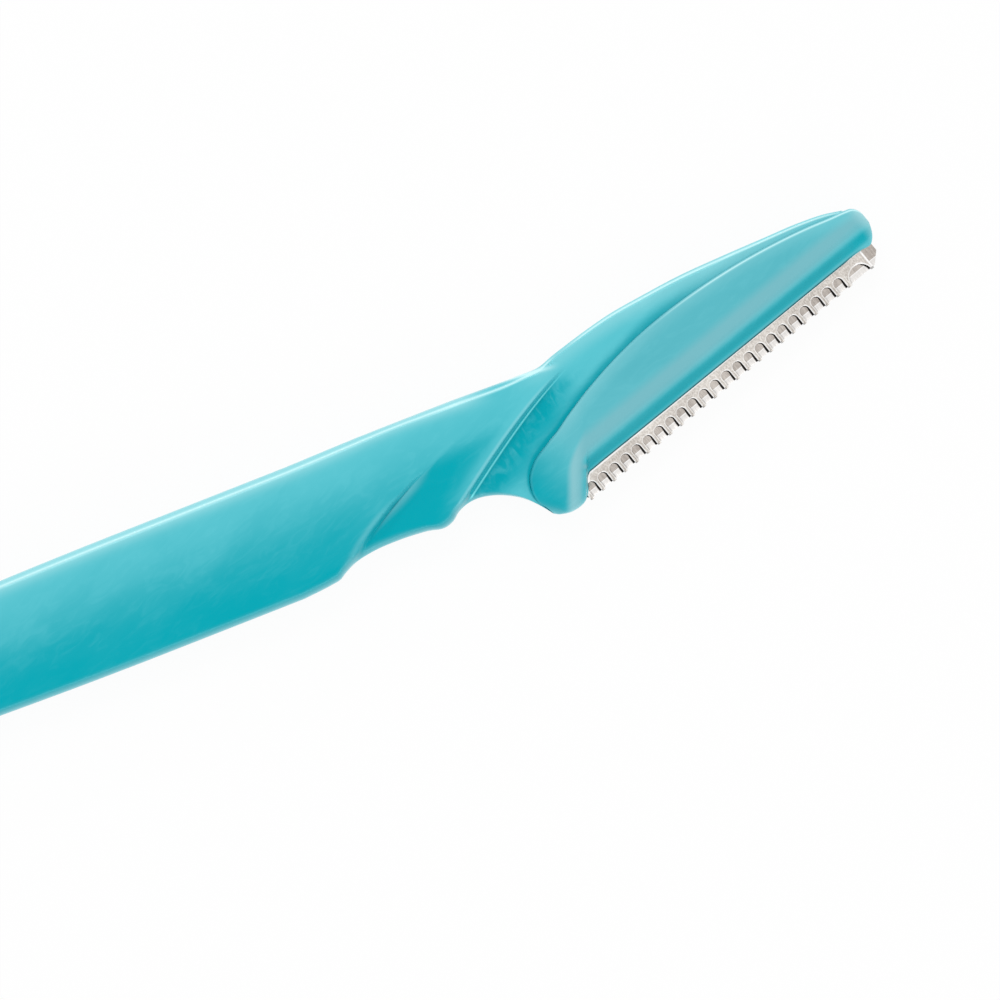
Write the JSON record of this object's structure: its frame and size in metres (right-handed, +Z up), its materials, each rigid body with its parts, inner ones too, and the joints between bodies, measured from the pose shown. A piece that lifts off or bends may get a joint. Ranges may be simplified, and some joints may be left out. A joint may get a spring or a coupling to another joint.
{
  "type": "eyebrow razor",
  "caption": "Slim flat eyebrow razor: moulded handle with finger ridges, a leaf-shaped two-part head and a guarded straight blade along its lower edge.",
  "frame": {"origin": "centre of the flat land on the underside of the shank, half way along the razor, where it rests", "axes": "+X along the shank to the head's tip, +Y across it to the spine side, +Z up out of the broad face"},
  "size_m": [0.1498, 0.0168, 0.0044],
  "materials": {
    "handle_plastic": "glossy turquoise moulded plastic with soft flow marks",
    "cover_plastic": "semi-gloss turquoise moulded plastic",
    "blade_steel": "ground steel with a bright bevel",
    "guard_steel": "thin pressed steel with a fine grain"
  },
  "bodies": {
    "root": {"handle": "handle_plastic", "front_head_cover": "cover_plastic", "back_head_cover": "cover_plastic", "blade": "blade_steel", "blade_guard": "guard_steel"}
  },
  "joints": []
}
